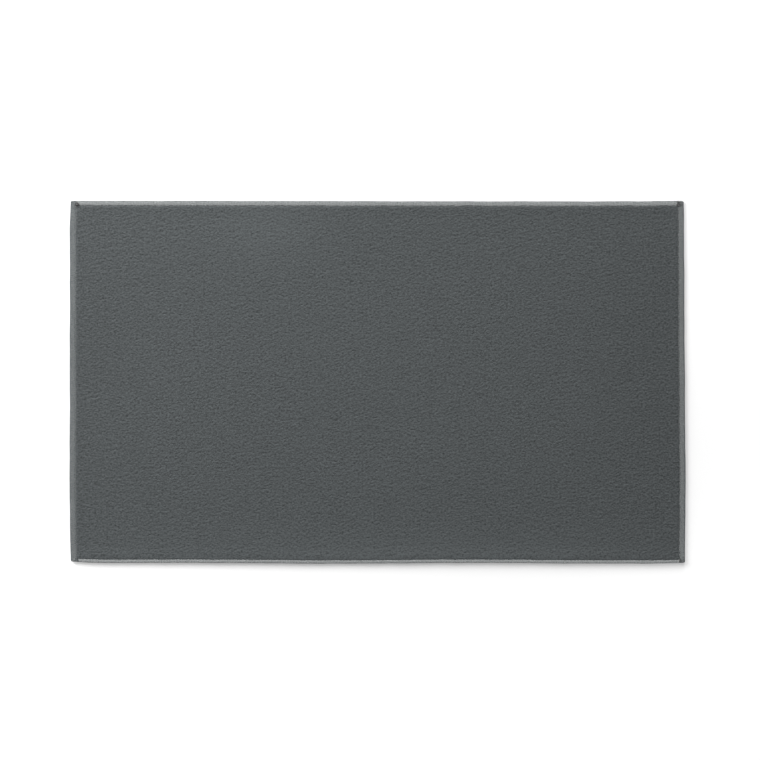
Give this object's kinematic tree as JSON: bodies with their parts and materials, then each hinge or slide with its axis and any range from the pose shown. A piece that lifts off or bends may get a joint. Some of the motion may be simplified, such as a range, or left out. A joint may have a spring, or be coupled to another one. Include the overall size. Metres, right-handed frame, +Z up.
{
  "type": "quick dry towel",
  "caption": "Rectangular quick-dry towel in dark grey terry with pale overlocked edges, lying flat, that folds in at both ends and then in half.",
  "frame": {"origin": "on the surface the towel lies on, under the centre of its outline", "axes": "+X along the length from left to right, +Y across the width, +Z up out of the face side"},
  "size_m": [1.195, 0.7034, 0.0039],
  "materials": {
    "ground_cloth": "matte",
    "face_pile": "matte",
    "back_pile": "matte",
    "looper_thread": "matte",
    "needle_thread": "matte",
    "thread_tail": "matte"
  },
  "bodies": {
    "left_outer_panel": {"left_outer_ground_cloth": "ground_cloth", "left_outer_face_pile": "face_pile", "left_outer_back_pile": "back_pile", "left_outer_near_edge_upper_looper_thread": "looper_thread", "left_outer_near_edge_lower_looper_thread": "looper_thread", "left_outer_near_edge_needle_thread": "needle_thread", "left_outer_far_edge_upper_looper_thread": "looper_thread", "left_outer_far_edge_lower_looper_thread": "looper_thread", "left_outer_far_edge_needle_thread": "needle_thread", "left_end_upper_looper_thread": "looper_thread", "left_end_lower_looper_thread": "looper_thread", "left_end_needle_thread": "needle_thread", "left_near_thread_tail": "thread_tail", "left_far_thread_tail": "thread_tail"},
    "left_inner_panel": {"left_inner_ground_cloth": "ground_cloth", "left_inner_face_pile": "face_pile", "left_inner_back_pile": "back_pile", "left_inner_near_edge_upper_looper_thread": "looper_thread", "left_inner_near_edge_lower_looper_thread": "looper_thread", "left_inner_near_edge_needle_thread": "needle_thread", "left_inner_far_edge_upper_looper_thread": "looper_thread", "left_inner_far_edge_lower_looper_thread": "looper_thread", "left_inner_far_edge_needle_thread": "needle_thread"},
    "right_inner_panel": {"right_inner_ground_cloth": "ground_cloth", "right_inner_face_pile": "face_pile", "right_inner_back_pile": "back_pile", "right_inner_near_edge_upper_looper_thread": "looper_thread", "right_inner_near_edge_lower_looper_thread": "looper_thread", "right_inner_near_edge_needle_thread": "needle_thread", "right_inner_far_edge_upper_looper_thread": "looper_thread", "right_inner_far_edge_lower_looper_thread": "looper_thread", "right_inner_far_edge_needle_thread": "needle_thread"},
    "right_outer_panel": {"right_outer_ground_cloth": "ground_cloth", "right_outer_face_pile": "face_pile", "right_outer_back_pile": "back_pile", "right_outer_near_edge_upper_looper_thread": "looper_thread", "right_outer_near_edge_lower_looper_thread": "looper_thread", "right_outer_near_edge_needle_thread": "needle_thread", "right_outer_far_edge_upper_looper_thread": "looper_thread", "right_outer_far_edge_lower_looper_thread": "looper_thread", "right_outer_far_edge_needle_thread": "needle_thread", "right_end_upper_looper_thread": "looper_thread", "right_end_lower_looper_thread": "looper_thread", "right_end_needle_thread": "needle_thread", "right_near_thread_tail": "thread_tail", "right_far_thread_tail": "thread_tail"}
  },
  "joints": [
    {"name": "left_quarter_fold", "type": "hinge", "parent": "left_inner_panel", "child": "left_outer_panel", "pos_m": [-0.30175, 0, 0.00445], "axis": [0, 1, 0], "range_deg": [0, 179.9]},
    {"name": "right_quarter_fold", "type": "hinge", "parent": "right_inner_panel", "child": "right_outer_panel", "pos_m": [0.30175, 0, 0.00445], "axis": [0, -1, 0], "range_deg": [0, 179.9]},
    {"name": "centre_fold", "type": "hinge", "parent": "left_inner_panel", "child": "right_inner_panel", "pos_m": [0, 0, 0.0099], "axis": [0, -1, 0], "range_deg": [0, 179.9]}
  ]
}
